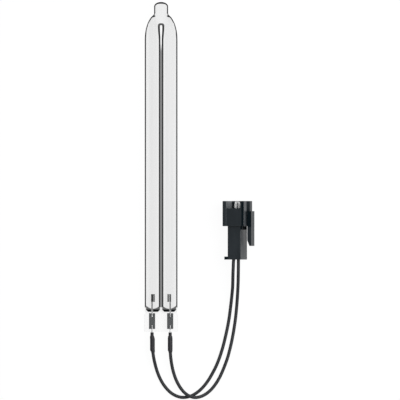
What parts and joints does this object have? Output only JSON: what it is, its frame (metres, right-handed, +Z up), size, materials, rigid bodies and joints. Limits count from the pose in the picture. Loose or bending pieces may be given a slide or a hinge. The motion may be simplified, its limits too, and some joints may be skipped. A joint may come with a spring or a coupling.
{
  "type": "ultraviolet germicidal lamp tube",
  "caption": "U-shaped quartz germicidal lamp with cup cathodes, a flat pinch seal with foils, and sleeved black wires that end in a latching plug housing.",
  "frame": {"origin": "on the resting surface, below the middle of the lamp from the nipple's tip to the ends of the shrink sleeves", "axes": "+Y along the tube towards the exhaust nipple, +X from the left leg to the right leg, +Z up from the resting surface"},
  "size_m": [0.0468, 0.1688, 0.0126],
  "materials": {
    "quartz": "clear fire-polished quartz",
    "nickel": "matt nickel",
    "lead_metal": "drawn lead wire",
    "foil_metal": "dark sealed foil",
    "tin_plate": "bright tin plate",
    "conductor": "tinned copper strands",
    "lead_sleeve": "matt",
    "heat_shrink": "satin",
    "wire_insulation": "satin",
    "black_nylon": "fine moulded satin"
  },
  "bodies": {
    "lamp": {"quartz_envelope": "quartz", "cathode_left": "nickel", "cathode_right": "nickel", "inner_lead_left": "lead_metal", "inner_lead_right": "lead_metal", "sealing_foil_left": "foil_metal", "sealing_foil_right": "foil_metal", "outer_lead_left": "lead_metal", "outer_lead_right": "lead_metal", "lead_sleeve_left": "lead_sleeve", "lead_sleeve_right": "lead_sleeve", "splice_left": "tin_plate", "splice_right": "tin_plate", "conductor_end_left": "conductor", "conductor_end_right": "conductor", "shrink_sleeve_left": "heat_shrink", "shrink_sleeve_right": "heat_shrink", "wire_left": "wire_insulation", "wire_right": "wire_insulation", "terminal_near": "tin_plate", "terminal_far": "tin_plate", "connector_housing": "black_nylon"},
    "latch": {"latch_lever": "black_nylon"}
  },
  "joints": [
    {"name": "latch_press", "type": "hinge", "parent": "lamp", "child": "latch", "pos_m": [0.0373, -0.0192, 0.00822], "axis": [0.3584, 0, -0.9336], "range_deg": [0, 8], "stiffness_Nm_per_rad": 0.05}
  ]
}
